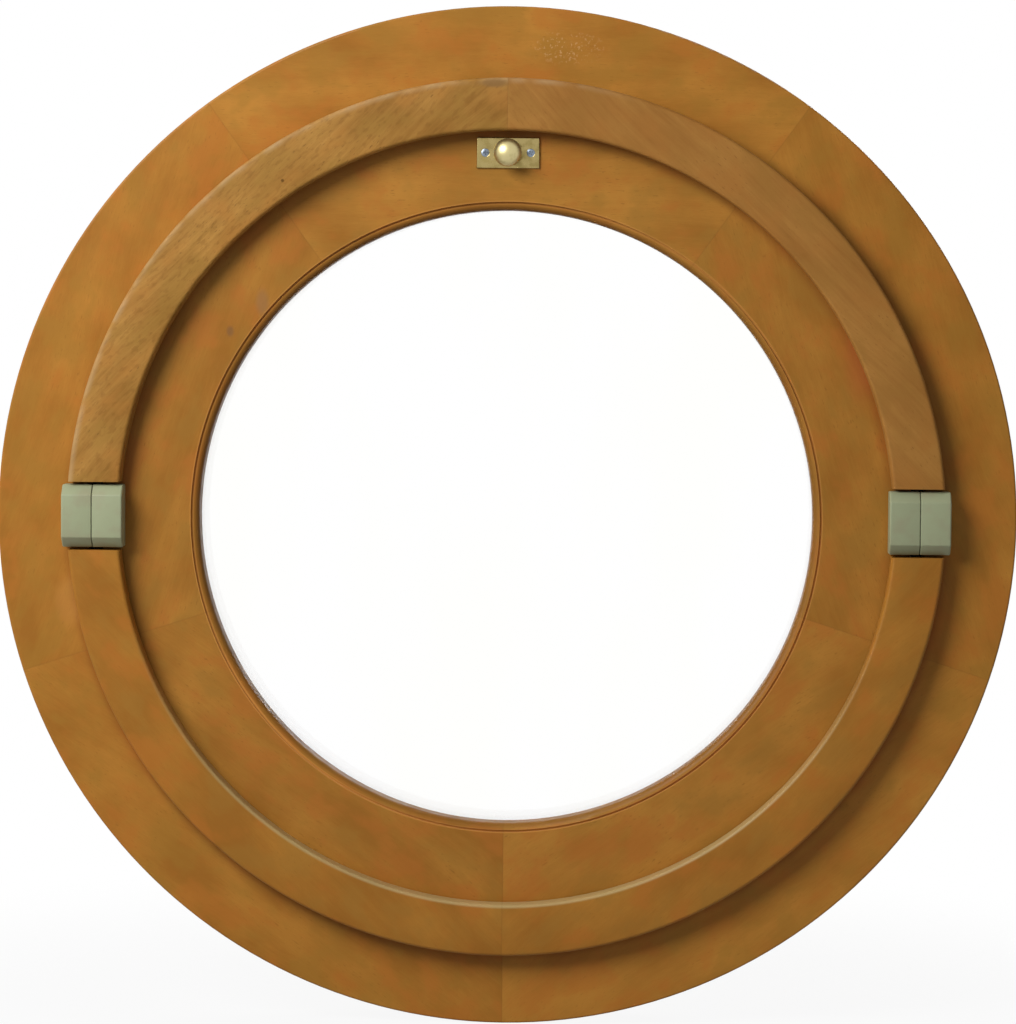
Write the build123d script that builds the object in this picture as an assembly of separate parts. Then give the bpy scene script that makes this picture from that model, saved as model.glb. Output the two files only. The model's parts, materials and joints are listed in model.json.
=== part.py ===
from build123d import *
import math
import os

# Round timber window whose glazed sash turns on two side pivots.
# X points right and Z up, as seen from the room; Y points outward, so the room face has the lowest Y.
# The origin is on the window's axis, halfway through the thickness of the timber.
# All sizes are in millimetres and all angles in degrees.
# Angles around the ring run clockwise from the top, as seen from the room.

# Timber rings
frame_radius = 350.0
frame_width = 62.5
sash_gap = 9.0
sash_width = 67.5
timber_depth = 58.0
arris = 1.5
segment_count = 5

# Moulded inner edge of the sash
lip_depth = 18.0
rebate_width = 14.0
ovolo_radius = 4.5
ovolo_drop = 0.5
quirk_width = 1.5
quirk_depth = 2.0

# Dowels in the segment joints
dowel_radius = 5.0
dowel_length = 50.0
dowel_spread = 28.0
dowel_chamfer = 1.0
dowel_end_room = 1.0
glue_line = 0.05

# Stops that cover the gap, inside and outside
stop_width = 35.5
stop_thickness = 16.0
stop_round = 2.5
stop_relief = 1.5
stop_end_gap = 0.5
stop_swing_gap = 1.2
seal_width = 3.8
seal_depth = 3.5
seal_inset = 5.5
seal_side_fit = 0.1
seal_tip_gap = 0.3

# Pivots
opening_angle = 45.0
pivot_offset = 8.0
pin_radius = 4.0
pin_chamfer = 0.6
pin_inset = 0.5
running_gap = 0.05
press_gap = 0.01
bush_wall = 1.5
boss_wall = 3.0
base_thickness = 4.0
washer_thickness = 1.8
washer_gap = 0.3
washer_rim = 2.0
cover_length = 20.7
cover_split = 0.4
cover_half_height = 21.5
cover_chamfer = 7.0
cover_wall = 1.8
cover_headroom = 1.2
cover_corner = 1.2
cover_fit = 0.3
pivot_screw_height = 14.0

# Glazing
pane_thickness = 4.0
pane_arris = 0.5
pane_gap = 12.0
pane_edge_gap = 3.0
spacer_width = 3.5
edge_seal_width = 3.0
tape_thickness = 2.0
tape_width = 8.0
bead_fit = 0.2
bead_sight = 10.0
bead_slope = 4.0
bead_round = 2.0
bead_count = 4
block_angles = (60, 150, 210, 300)
block_span = 9.0
block_fit = 0.1
brad_radius = 0.8
brad_length = 22.0
brad_set = 2.0
brads_per_bead = 2

# Catch: a rack bolt thrown by a knob
catch_reveal = 4.5
catch_plate_length = 43.0
catch_plate_height = 21.0
catch_plate_thickness = 1.8
catch_plate_chamfer = 0.5
catch_screw_spacing = 31.0
knob_radius = 9.5
knob_neck_radius = 5.2
knob_waist_radius = 4.5
knob_height = 15.5
knob_neck_height = 6.0
knob_edge = 1.8
knob_crown = 4.0
knob_cap = 3.2
knob_gap = 0.2
knob_turn = 300.0
tooth_module = 0.75
tooth_count = 8
pressure_angle = 30.0
addendum_share = 0.8
tooth_clearance = 0.2
backlash = 0.12
bolt_radius = 6.2
bolt_running_gap = 0.1
bolt_chamfer = 1.0
bolt_setback = 0.6
case_wall = 1.3
mortice_fit = 0.1
pinion_step = 1.2
spindle_radius = 3.2
spindle_journal = 2.0
spindle_collar = 0.7
collar_depth = 2.0
spindle_square = 4.0
square_fit = 0.05
latch_plate_length = 44.0
latch_plate_width = 18.0
latch_plate_thickness = 2.0
latch_screw_spacing = 34.0
keeper_gap = 0.5
keeper_depth = 2.0

# Wood screws
pivot_screw_head = 3.9
pivot_screw_shank = 2.0
pivot_screw_length = 30.0
small_screw_head = 2.85
small_screw_shank = 1.5
small_screw_length = 16.0
screw_fit = 0.05
screw_mouth = 0.5
recess_width = 0.8
recess_share = 1.3

# Holes through the frame for its own fixings
fixing_radius = 4.0
fixing_sink_radius = 7.0
fixing_sink_depth = 12.0
fixing_offset = 10.0
fixing_angles = (60, 140, 220, 300)

# How far a cut runs past the face that it opens
cut_past = 1.0

# Derived sizes of the rings
room_face = -timber_depth / 2
outer_face = timber_depth / 2
frame_inner = frame_radius - frame_width
sash_radius = frame_inner - sash_gap
gap_middle = (frame_inner + sash_radius) / 2
lip_radius = sash_radius - sash_width
rebate_radius = lip_radius + rebate_width
rebate_face = room_face + lip_depth
frame_middle = (frame_inner + frame_radius) / 2
sash_middle = (rebate_radius + sash_radius) / 2
segment_span = 360 / segment_count
first_joint = segment_span / 2
segment_names = ("top", "right", "lower_right", "lower_left", "left")

# Derived sizes of the stops
stop_inner = gap_middle - stop_width / 2
stop_outer = gap_middle + stop_width / 2
cover_proud = pivot_offset + pin_radius + bush_wall + boss_wall + cover_headroom + cover_wall
axis_y = room_face - pivot_offset
swing_depth = outer_face - axis_y
inside_stop_end = math.hypot(cover_half_height, pivot_offset) + stop_end_gap
moving_stop_end = swing_depth * math.tan(math.radians(opening_angle / 2)) + stop_swing_gap
moving_corner = math.hypot(swing_depth + stop_thickness, moving_stop_end)
moving_slope = opening_angle - math.degrees(math.atan(moving_stop_end / (swing_depth + stop_thickness)))
fixed_stop_end = moving_corner * math.sin(math.radians(moving_slope)) + stop_swing_gap

# Derived sizes of the pivots
boss_radius = pin_radius + bush_wall + boss_wall
bush_radius = pin_radius + bush_wall
sash_split = gap_middle - cover_split / 2
frame_split = gap_middle + cover_split / 2
sash_boss_end = gap_middle - washer_thickness / 2 - washer_gap
frame_boss_end = gap_middle + washer_thickness / 2 + washer_gap
sash_base_start = sash_split - cover_length + cover_wall + cover_fit
frame_base_end = frame_split + cover_length - cover_wall - cover_fit
base_half_height = cover_half_height - cover_wall - cover_fit

# Derived sizes of the glazing
pane_radius = rebate_radius - pane_edge_gap
inner_pane_face = rebate_face + tape_thickness
outer_pane_face = inner_pane_face + pane_thickness + pane_gap
glass_back = outer_pane_face + pane_thickness
bead_face = glass_back + tape_thickness
bead_outer = rebate_radius - bead_fit
bead_inner = rebate_radius - bead_sight
bead_middle = (bead_face + outer_face) / 2

# Derived sizes of the catch
catch_radius = stop_inner - catch_reveal - catch_plate_height / 2
pitch_radius = tooth_module * tooth_count / 2
tooth_pitch = math.pi * tooth_module
addendum = addendum_share * tooth_module
tip_radius = pitch_radius + addendum
root_radius = pitch_radius - addendum - tooth_clearance
base_radius = pitch_radius * math.cos(math.radians(pressure_angle))
bolt_travel = pitch_radius * math.radians(knob_turn)
rack_teeth = math.ceil(bolt_travel / tooth_pitch) + 1
bolt_bottom = catch_radius - (rack_teeth - 1) * tooth_pitch
plate_top = math.sqrt(sash_radius**2 - (latch_plate_length / 2) ** 2)
case_top = plate_top - latch_plate_thickness
bolt_top = plate_top - bolt_setback
case_bore = bolt_radius + bolt_running_gap
case_radius = case_bore + case_wall
case_floor = bolt_bottom - bolt_setback
case_bottom = case_floor - case_wall
spindle_hole = tip_radius + bolt_running_gap
rack_half_width = math.sqrt(bolt_radius**2 - pitch_radius**2)
strike_face = frame_inner
strike_back = strike_face + latch_plate_thickness
keeper_radius = bolt_radius + keeper_gap
keeper_end = bolt_top + bolt_travel + keeper_depth
slot_side = tip_radius + keeper_gap
slot_top = catch_radius + tip_radius + keeper_gap
strike_low = math.sqrt(frame_inner**2 - (latch_plate_length / 2) ** 2) - cut_past
pivot_screw = (pivot_screw_head, pivot_screw_shank, pivot_screw_length)
small_screw = (small_screw_head, small_screw_shank, small_screw_length)


# Helpers
def turn(shape, angle):
    """The shape moved clockwise round the window's axis."""
    return Rot(0, angle, 0) * shape


def arc_piece(section, start, end):
    """A section drawn at (radius, y), swept clockwise from one angle to another."""
    return turn(revolve(section, Axis.Y, end - start), start - 90)


def box_section(inner, outer, low, high):
    return Pos((inner + outer) / 2, (low + high) / 2) * Rectangle(outer - inner, high - low)


def ring(inner, outer, low, high):
    return arc_piece(box_section(inner, outer, low, high), 0, 360)


def slab(x0, x1, y0, y1, z0, z1):
    low = (Align.MIN, Align.MIN, Align.MIN)
    return Pos(x0, y0, z0) * Box(x1 - x0, y1 - y0, z1 - z0, align=low)


def rod(radius, length):
    return Cylinder(radius, length, align=(Align.CENTER, Align.CENTER, Align.MIN))


def rod_x(radius, x0, x1, y=0, z=0):
    return Pos(x0, y, z) * Rot(0, 90, 0) * rod(radius, x1 - x0)


def rod_y(radius, y0, y1, x=0, z=0):
    return Pos(x, y0, z) * Rot(-90, 0, 0) * rod(radius, y1 - y0)


def rod_z(radius, z0, z1, x=0, y=0):
    return Pos(x, y, z0) * rod(radius, z1 - z0)


def bar_x(section, x0, x1):
    """A section drawn at (y, z), drawn out from x0 to x1."""
    return extrude(Plane.YZ.offset(x0) * section, x1 - x0, dir=(1, 0, 0))


def bar_y(section, y0, y1):
    """A section drawn at (x, z), drawn out from y0 to y1."""
    return extrude(Plane.XZ.offset(-y0) * section, y1 - y0, dir=(0, 1, 0))


def rounded(section, radius, choose):
    """The section with its chosen corners rounded."""
    corners = [corner for corner in section.vertices() if choose(corner)]
    return fillet(corners, radius)


def group(pieces):
    return Compound(children=list(pieces))


# Wood screws, drawn with the head at the origin and the point towards +Y
def screw_section(sizes, grow=0.0):
    head, shank, length = (size + grow for size in sizes)
    outline = [(0, 0), (head, 0), (shank, head - shank), (shank, length - 2 * shank), (0, length)]
    return Polygon(*outline, align=None)


def screw(sizes):
    """Countersunk screw with a cross recess."""
    head = sizes[0]
    arm = recess_share * head
    recess = Box(arm, head, recess_width) + Box(recess_width, head, arm)
    return revolve(screw_section(sizes), Axis.Y) - recess


def screw_hole(sizes):
    hole = revolve(screw_section(sizes, screw_fit), Axis.Y)
    return hole + rod_y(sizes[0] + screw_fit, -screw_mouth, 0)


# Joints between the segments
joint_angles = [first_joint + index * segment_span for index in range(segment_count)]


def dowel_holes(mid_radius):
    """Every dowel of one ring, and the holes that take them."""
    dowels, holes = [], []
    for angle in joint_angles:
        for y in (-dowel_spread / 2, dowel_spread / 2):
            half = dowel_length / 2
            dowel = rod_x(dowel_radius - glue_line, -half, half, y, mid_radius)
            deep = half + dowel_end_room
            hole = rod_x(dowel_radius, -deep, deep, y, mid_radius)
            dowel = chamfer(dowel.edges().filter_by(GeomType.CIRCLE), dowel_chamfer)
            dowels.append(turn(dowel, angle))
            holes.append(turn(hole, angle))
    return dowels, holes


frame_dowels, frame_dowel_holes = dowel_holes(frame_middle)
sash_dowels, sash_dowel_holes = dowel_holes(sash_middle)


# Timber sections, drawn as (radius, y)
def frame_section():
    section = box_section(frame_inner, frame_radius, room_face, outer_face)
    return rounded(section, arris, lambda corner: True)


def sash_section():
    """Sash ring with the glazing rebate behind and a quirk and ovolo in front."""
    ovolo_edge = lip_radius + ovolo_radius
    crest = room_face + ovolo_drop
    quirk_edge = ovolo_edge + quirk_width
    quirk_floor = room_face + quirk_depth
    middle = math.sqrt(0.5) * ovolo_radius
    rounding = ThreePointArc(
        (lip_radius, crest + ovolo_radius),
        (ovolo_edge - middle, crest + ovolo_radius - middle),
        (ovolo_edge, crest),
    )
    outline = Polyline(
        (ovolo_edge, crest),
        (ovolo_edge, quirk_floor),
        (quirk_edge, quirk_floor),
        (quirk_edge, room_face),
        (sash_radius, room_face),
        (sash_radius, outer_face),
        (rebate_radius, outer_face),
        (rebate_radius, rebate_face),
        (lip_radius, rebate_face),
        (lip_radius, crest + ovolo_radius),
    )
    section = make_face(rounding + outline)
    return rounded(section, arris, lambda corner: corner.X > sash_middle)


# Catch, drawn at the top of the window
def tooth_half_angle(radius):
    """Half the angle that a pinion tooth fills at a radius, in radians."""

    def involute(angle):
        return math.tan(angle) - angle

    at_pitch = (tooth_pitch / 2 - backlash) / (2 * pitch_radius)
    here = math.acos(min(1, base_radius / radius))
    return at_pitch + involute(math.radians(pressure_angle)) - involute(here)


def pinion_section():
    def at(radius, angle):
        return (radius * math.cos(angle), radius * math.sin(angle))

    mid_radius = (base_radius + tip_radius) / 2
    foot = tooth_half_angle(base_radius)
    waist = tooth_half_angle(mid_radius)
    tip = tooth_half_angle(tip_radius)
    step = 2 * math.pi / tooth_count
    edges = []
    for index in range(tooth_count):
        centre = math.pi + index * step
        low, high = centre - foot, centre + foot
        edges.append(Line(at(root_radius, low), at(base_radius, low)))
        edges.append(
            ThreePointArc(at(base_radius, low), at(mid_radius, centre - waist), at(tip_radius, centre - tip))
        )
        edges.append(
            ThreePointArc(at(tip_radius, centre - tip), at(tip_radius, centre), at(tip_radius, centre + tip))
        )
        edges.append(
            ThreePointArc(at(tip_radius, centre + tip), at(mid_radius, centre + waist), at(base_radius, high))
        )
        edges.append(Line(at(base_radius, high), at(root_radius, high)))
        following = centre + step - foot
        valley = at(root_radius, centre + step / 2)
        edges.append(ThreePointArc(at(root_radius, high), valley, at(root_radius, following)))
    return make_face(Curve() + edges)


def rack_gap():
    """The space between two rack teeth, drawn as (x, z) round the pitch line."""
    slope = math.tan(math.radians(pressure_angle))
    half = tooth_pitch / 4 + backlash / 2
    deep = addendum + tooth_clearance
    points = [
        (deep, half + deep * slope),
        (-deep, half - deep * slope),
        (-deep, -half + deep * slope),
        (deep, -half - deep * slope),
    ]
    return Polygon(*points, align=None)


plate_front = room_face - catch_plate_thickness
knob_foot = plate_front - knob_gap
square_start = knob_foot - knob_gap
square_end = knob_foot - knob_height + knob_cap
spindle_front = case_radius + mortice_fit
pinion_back = rack_half_width - pinion_step
journal_end = math.sqrt(case_radius**2 - spindle_journal**2)
catch_x = catch_screw_spacing / 2
latch_x = latch_screw_spacing / 2
catch_screw_spots = [Pos(x, plate_front, catch_radius) for x in (-catch_x, catch_x)]
latch_screw_spots = [Pos(x, 0, plate_top) * Rot(-90, 0, 0) for x in (-latch_x, latch_x)]
strike_screw_spots = [Pos(x, 0, strike_face) * Rot(90, 0, 0) for x in (-latch_x, latch_x)]


def spread(shape, spots):
    return [spot * shape for spot in spots]


def latch_bolt():
    """Round bolt, forked below, with rack teeth down one prong."""
    bolt = rod_z(bolt_radius, bolt_bottom, bolt_top)
    bolt = chamfer(bolt.edges().group_by(Axis.Z)[-1], bolt_chamfer)
    reach = bolt_radius + cut_past
    bolt -= slab(addendum - pitch_radius, slot_side, -reach, reach, bolt_bottom - cut_past, slot_top)
    gap = bar_y(rack_gap(), -reach, reach)
    for index in range(rack_teeth + 1):
        bolt -= Pos(-pitch_radius, 0, bolt_bottom + index * tooth_pitch) * gap
    return bolt


def bolt_case():
    """Tube with a faceplate, let into the edge of the sash."""
    case = rod_z(case_radius, case_bottom, case_top)
    half_length, half_width = latch_plate_length / 2, latch_plate_width / 2
    case += slab(-half_length, half_length, -half_width, half_width, case_top, plate_top)
    reach = case_radius + cut_past
    case -= rod_z(case_bore, case_floor, plate_top + cut_past)
    case -= rod_y(spindle_hole, -reach, 0, 0, catch_radius)
    case -= rod_y(spindle_journal + running_gap, 0, reach, 0, catch_radius)
    return case - spread(screw_hole(small_screw), latch_screw_spots)


def catch_spindle():
    """Spindle with the pinion at one end and a square for the knob at the other."""
    spindle = Pos(0, 0, catch_radius) * bar_y(pinion_section(), -spindle_front, pinion_back)
    spindle += rod_y(spindle_journal, 0, journal_end, 0, catch_radius)
    spindle += rod_y(spindle_radius, square_start, -spindle_front, 0, catch_radius)
    collar = spindle_radius + spindle_collar
    spindle += rod_y(collar, room_face + running_gap, room_face + collar_depth, 0, catch_radius)
    half = spindle_square / 2
    return spindle + slab(-half, half, square_end, square_start, catch_radius - half, catch_radius + half)


def catch_knob():
    """Turned knob: a waisted neck that flares to a rounded head with a domed crown."""
    top = knob_foot - knob_height
    shoulder = knob_foot - knob_neck_height
    head_edge = knob_radius - knob_edge
    rim = top + knob_crown
    crown_radius = (head_edge**2 + knob_crown**2) / (2 * knob_crown)
    crown_middle = top + crown_radius - math.sqrt(crown_radius**2 - (head_edge / 2) ** 2)
    outline = [
        Line((0, knob_foot), (knob_neck_radius, knob_foot)),
        ThreePointArc(
            (knob_neck_radius, knob_foot),
            (knob_waist_radius, knob_foot - knob_neck_height / 2),
            (knob_neck_radius, shoulder + knob_edge / 2),
        ),
        Line((knob_neck_radius, shoulder + knob_edge / 2), (head_edge, shoulder)),
        ThreePointArc((head_edge, shoulder), (knob_radius, (shoulder + rim) / 2), (head_edge, rim)),
        ThreePointArc((head_edge, rim), (head_edge / 2, crown_middle), (0, top)),
        Line((0, top), (0, knob_foot)),
    ]
    knob = Pos(0, 0, catch_radius) * revolve(make_face(Curve() + outline), Axis.Y)
    half = spindle_square / 2 + square_fit
    socket = slab(
        -half, half, square_end - square_fit, knob_foot + cut_past, catch_radius - half, catch_radius + half
    )
    mouth = rod_y(
        spindle_radius + square_fit, square_start - square_fit, knob_foot + cut_past, 0, catch_radius
    )
    return knob - socket - mouth


def catch_plate():
    half_length, half_height = catch_plate_length / 2, catch_plate_height / 2
    plate = slab(
        -half_length,
        half_length,
        plate_front,
        room_face,
        catch_radius - half_height,
        catch_radius + half_height,
    )
    plate = chamfer(plate.faces().sort_by(Axis.Y)[0].edges(), catch_plate_chamfer)
    plate -= rod_y(
        spindle_radius + running_gap, plate_front - cut_past, room_face + cut_past, 0, catch_radius
    )
    return plate - spread(screw_hole(small_screw), catch_screw_spots)


def strike_plate():
    half_length, half_width = latch_plate_length / 2, latch_plate_width / 2
    plate = slab(-half_length, half_length, -half_width, half_width, strike_face, strike_back)
    plate -= rod_z(keeper_radius, strike_face - cut_past, strike_back + cut_past)
    return plate - spread(screw_hole(small_screw), strike_screw_spots)


def latch_recess(low, high):
    """Cutter for a plate let into the edge of a ring, open on the gap side."""
    half_length = latch_plate_length / 2 + mortice_fit
    half_width = latch_plate_width / 2 + mortice_fit
    return slab(-half_length, half_length, -half_width, half_width, low, high)


sash_catch_cut = [
    rod_z(case_radius + mortice_fit, case_bottom - mortice_fit, sash_radius),
    latch_recess(case_top, sash_radius + cut_past),
    rod_y(spindle_radius + spindle_collar + mortice_fit, room_face - cut_past, 0, 0, catch_radius),
]
sash_catch_cut += spread(screw_hole(small_screw), catch_screw_spots)
sash_catch_cut += spread(screw_hole(small_screw), latch_screw_spots)
frame_catch_cut = [
    rod_z(keeper_radius, strike_low, keeper_end),
    latch_recess(strike_low, strike_back),
]
frame_catch_cut += spread(screw_hole(small_screw), strike_screw_spots)


# Pivots, drawn at the right-hand side; the left-hand set is half a turn away
def cover_outline(extra=0.0):
    """Outline of a cover, drawn as (y, z), with a chamfer above and below."""
    half, slope = cover_half_height, cover_half_height - cover_chamfer
    shoulder, front = room_face - cover_proud + cover_chamfer, room_face - cover_proud
    back = room_face + extra
    points = [(back, -half), (shoulder, -half), (front, -slope)]
    points += [(front, slope), (shoulder, half), (back, half)]
    return Polygon(*points, align=None)


def pivot_cover(split_x, way):
    """Moulded shell, open behind and towards its partner; way is -1 on the sash and 1 on the frame."""
    end_x = split_x + way * cover_length
    low, high = min(split_x, end_x), max(split_x, end_x)
    shell = bar_x(cover_outline(), low, high)
    end_face = shell.faces().sort_by(Axis.X)[-1 if way > 0 else 0]
    rim = [edge for edge in end_face.edges() if edge.center().Y < room_face - cover_wall]
    shell = fillet(rim, cover_corner)
    inner = offset(cover_outline(2 * cover_wall), -cover_wall, kind=Kind.INTERSECTION)
    hollow_low = low + cover_wall if way < 0 else low - cut_past
    hollow_high = high - cover_wall if way > 0 else high + cut_past
    return shell - bar_x(inner, hollow_low, hollow_high)


def pivot_spots(base_start, base_end):
    middle = (base_start + base_end) / 2
    face = room_face - base_thickness
    return [Pos(middle, face, z) for z in (-pivot_screw_height, pivot_screw_height)]


def pivot_base(base_start, base_end, bore):
    """Cast base: a screwed plate with a boss that carries the pin."""
    plate = slab(
        base_start, base_end, room_face - base_thickness, room_face, -base_half_height, base_half_height
    )
    web = slab(base_start, base_end, axis_y, room_face, -boss_radius, boss_radius)
    base = plate + web + rod_x(boss_radius, base_start, base_end, axis_y)
    low, high = base_start - cut_past, base_end + cut_past
    behind = slab(low, high, room_face, room_face + boss_radius, -boss_radius, boss_radius)
    base = base - behind - rod_x(bore, low, high, axis_y)
    return base - spread(screw_hole(pivot_screw), pivot_spots(base_start, base_end))


def pivot_pin():
    pin = rod_x(pin_radius, sash_base_start + pin_inset, frame_base_end - pin_inset, axis_y)
    return chamfer(pin.edges().filter_by(GeomType.CIRCLE), pin_chamfer)


def tube_x(bore, radius, x0, x1):
    return rod_x(radius, x0, x1, axis_y) - rod_x(bore, x0 - cut_past, x1 + cut_past, axis_y)


sash_base = pivot_base(sash_base_start, sash_boss_end, bush_radius + press_gap)
frame_base = pivot_base(frame_boss_end, frame_base_end, pin_radius + press_gap)
bush = tube_x(pin_radius + running_gap, bush_radius, sash_base_start, sash_boss_end)
washer = tube_x(
    pin_radius + running_gap,
    bush_radius + washer_rim,
    gap_middle - washer_thickness / 2,
    gap_middle + washer_thickness / 2,
)
sash_cover = pivot_cover(sash_split, -1)
frame_cover = pivot_cover(frame_split, 1)
sash_pivot_spots = pivot_spots(sash_base_start, sash_boss_end)
frame_pivot_spots = pivot_spots(frame_boss_end, frame_base_end)
sides = {"right": 0, "left": 180}


def both_sides(shapes):
    return [turn(shape, angle) for angle in sides.values() for shape in shapes]


# Timber rings in segments
fixing_holes = []
for fixing_angle in fixing_angles:
    start = frame_inner - cut_past
    fixing_hole = rod_z(fixing_radius, start, frame_radius + cut_past, 0, fixing_offset)
    fixing_hole += rod_z(fixing_sink_radius, start, frame_inner + fixing_sink_depth, 0, fixing_offset)
    fixing_holes.append(turn(fixing_hole, fixing_angle))

frame_cutters = frame_dowel_holes + frame_catch_cut + fixing_holes
frame_cutters += both_sides(spread(screw_hole(pivot_screw), frame_pivot_spots))
sash_cutters = sash_dowel_holes + sash_catch_cut
sash_cutters += both_sides(spread(screw_hole(pivot_screw), sash_pivot_spots))


def segments(section, cutters):
    """The segments of one ring, each with only the holes that reach it."""
    pieces = {}
    for index, name in enumerate(segment_names):
        centre = index * segment_span
        blank = arc_piece(section, centre - segment_span / 2, centre + segment_span / 2)
        limits = blank.bounding_box()
        near = [cutter for cutter in cutters if limits.overlaps(cutter.bounding_box())]
        pieces[name] = blank - near
    return pieces


# Glazing
def pane(low):
    disc = ring(0, pane_radius, low, low + pane_thickness)
    return chamfer(disc.edges().filter_by(GeomType.CIRCLE), pane_arris)


def bead_section():
    points = [
        (bead_outer, bead_face),
        (bead_inner, bead_face),
        (bead_inner + bead_slope, outer_face),
        (bead_outer, outer_face),
    ]
    section = Polygon(*points, align=None)

    def sight_corner(corner):
        return corner.X < bead_outer - bead_round and corner.Y > bead_middle

    return rounded(section, bead_round, sight_corner)


def brad(grow):
    """Panel pin driven outward through the middle of a bead, drawn at the top."""
    low = bead_inner + bead_slope + brad_set
    return rod_z(brad_radius + grow, low, low + brad_length, 0, bead_middle)


bead_span = 360 / bead_count
brad_angles = [
    (index + 0.5) * bead_span / brads_per_bead for index in range(bead_count * brads_per_bead)
]
brads = [turn(brad(0), angle) for angle in brad_angles]
brad_holes = [turn(brad(screw_fit), angle) for angle in brad_angles]
sash_cutters += brad_holes
block_shape = box_section(
    pane_radius + block_fit, rebate_radius - block_fit, inner_pane_face, glass_back
)


# Stops and their seals
def stop_piece(way, overhang, start, end, end_height):
    """Part of a stop ring; way is -1 in the room and 1 outside, overhang is 1 where its outer half laps."""
    seat = way * timber_depth / 2
    section = box_section(
        stop_inner, stop_outer, min(seat, seat + way * stop_thickness), max(seat, seat + way * stop_thickness)
    )
    section = rounded(section, stop_round, lambda corner: abs(corner.Y) > timber_depth / 2 + stop_relief)
    relief = seat + way * stop_relief
    lap_edge = gap_middle + overhang * stop_width
    section -= box_section(
        min(gap_middle, lap_edge), max(gap_middle, lap_edge), min(seat, relief), max(seat, relief)
    )
    groove_half = seal_width / 2 + seal_side_fit
    middle = seal_radius(overhang)
    deep = relief + way * seal_depth
    section -= box_section(
        middle - groove_half, middle + groove_half, min(seat, deep), max(seat, deep)
    )
    return trimmed(arc_piece(section, start, end), end_height)


def seal_radius(overhang):
    return frame_inner + seal_inset if overhang > 0 else sash_radius - seal_inset


def seal_piece(way, overhang, start, end, end_height):
    seat = way * timber_depth / 2
    tip = seat + way * seal_tip_gap
    deep = seat + way * (stop_relief + seal_depth)
    middle = seal_radius(overhang)
    section = box_section(
        middle - seal_width / 2, middle + seal_width / 2, min(tip, deep), max(tip, deep)
    )
    return trimmed(arc_piece(section, start, end), end_height)


def trimmed(piece, end_height):
    """The piece without what lies within a height of the pivot line."""
    reach = frame_radius + cut_past
    return piece - slab(-reach, reach, -reach, reach, -end_height, end_height)


quarters = {
    "upper_right": (0, 90),
    "lower_right": (90, 180),
    "lower_left": (180, 270),
    "upper_left": (270, 360),
}

# All pieces by name
nodes = {}
for name, piece in segments(frame_section(), frame_cutters).items():
    nodes["frame_segment_" + name] = piece
for name, piece in segments(sash_section(), sash_cutters).items():
    nodes["sash_segment_" + name] = piece
nodes["frame_dowels"] = group(frame_dowels)
nodes["sash_dowels"] = group(sash_dowels)

for name, (start, end) in quarters.items():
    upper = name.startswith("upper")
    inside_lap = 1 if upper else -1
    outside_end = fixed_stop_end if upper else moving_stop_end
    nodes["stop_inside_" + name] = stop_piece(-1, inside_lap, start, end, inside_stop_end)
    nodes["stop_outside_" + name] = stop_piece(1, -inside_lap, start, end, outside_end)
nodes["seal_inside_upper"] = seal_piece(-1, 1, -90, 90, inside_stop_end)
nodes["seal_inside_lower"] = seal_piece(-1, -1, 90, 270, inside_stop_end)
nodes["seal_outside_upper"] = seal_piece(1, -1, -90, 90, fixed_stop_end)
nodes["seal_outside_lower"] = seal_piece(1, 1, 90, 270, moving_stop_end)

for side, angle in sides.items():
    nodes["pivot_sash_base_" + side] = turn(sash_base, angle)
    nodes["pivot_frame_base_" + side] = turn(frame_base, angle)
    nodes["pivot_sash_cover_" + side] = turn(sash_cover, angle)
    nodes["pivot_frame_cover_" + side] = turn(frame_cover, angle)
    nodes["pivot_pin_" + side] = turn(pivot_pin(), angle)
nodes["pivot_bushes"] = group(both_sides([bush]))
nodes["friction_washers"] = group(both_sides([washer]))
nodes["pivot_sash_screws"] = group(both_sides(spread(screw(pivot_screw), sash_pivot_spots)))
nodes["pivot_frame_screws"] = group(both_sides(spread(screw(pivot_screw), frame_pivot_spots)))

nodes["inner_pane"] = pane(inner_pane_face)
nodes["outer_pane"] = pane(outer_pane_face)
seal_start = pane_radius - edge_seal_width
gap_start, gap_end = inner_pane_face + pane_thickness, outer_pane_face
nodes["glass_spacer"] = ring(seal_start - spacer_width, seal_start, gap_start, gap_end)
nodes["glass_edge_seal"] = ring(seal_start, pane_radius - pane_arris, gap_start, gap_end)
nodes["glazing_tape_inner"] = ring(pane_radius - tape_width, pane_radius, rebate_face, inner_pane_face)
nodes["glazing_tape_outer"] = ring(bead_inner, pane_radius, glass_back, bead_face)
nodes["setting_blocks"] = group(
    arc_piece(block_shape, angle - block_span / 2, angle + block_span / 2) for angle in block_angles
)
for index in range(bead_count):
    bead = arc_piece(bead_section(), index * bead_span, (index + 1) * bead_span)
    near = [
        hole
        for hole, angle in zip(brad_holes, brad_angles)
        if index * bead_span < angle < (index + 1) * bead_span
    ]
    nodes[f"glazing_bead_{index + 1}"] = bead - near
nodes["bead_pins"] = group(brads)

nodes["bolt_case"] = bolt_case()
nodes["bolt_case_screws"] = group(spread(screw(small_screw), latch_screw_spots))
nodes["latch_bolt"] = latch_bolt()
nodes["catch_plate"] = catch_plate()
nodes["catch_plate_screws"] = group(spread(screw(small_screw), catch_screw_spots))
nodes["catch_spindle"] = catch_spindle()
nodes["catch_knob"] = catch_knob()
nodes["strike_plate"] = strike_plate()
nodes["strike_plate_screws"] = group(spread(screw(small_screw), strike_screw_spots))

os.makedirs("parts", exist_ok=True)
for name, piece in nodes.items():
    export_step(piece, f"parts/{name}.step")
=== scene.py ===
# %% [markdown]
# # A round pivot window, dressed for a photograph
# The solids of the window come in as a fixed frame, in metres: X to the right, Z up, the room on
# the side of low Y. Nothing here moves them. Each step either gives a solid its finish, or makes a
# better looking piece that stands where the solid stood.

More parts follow.
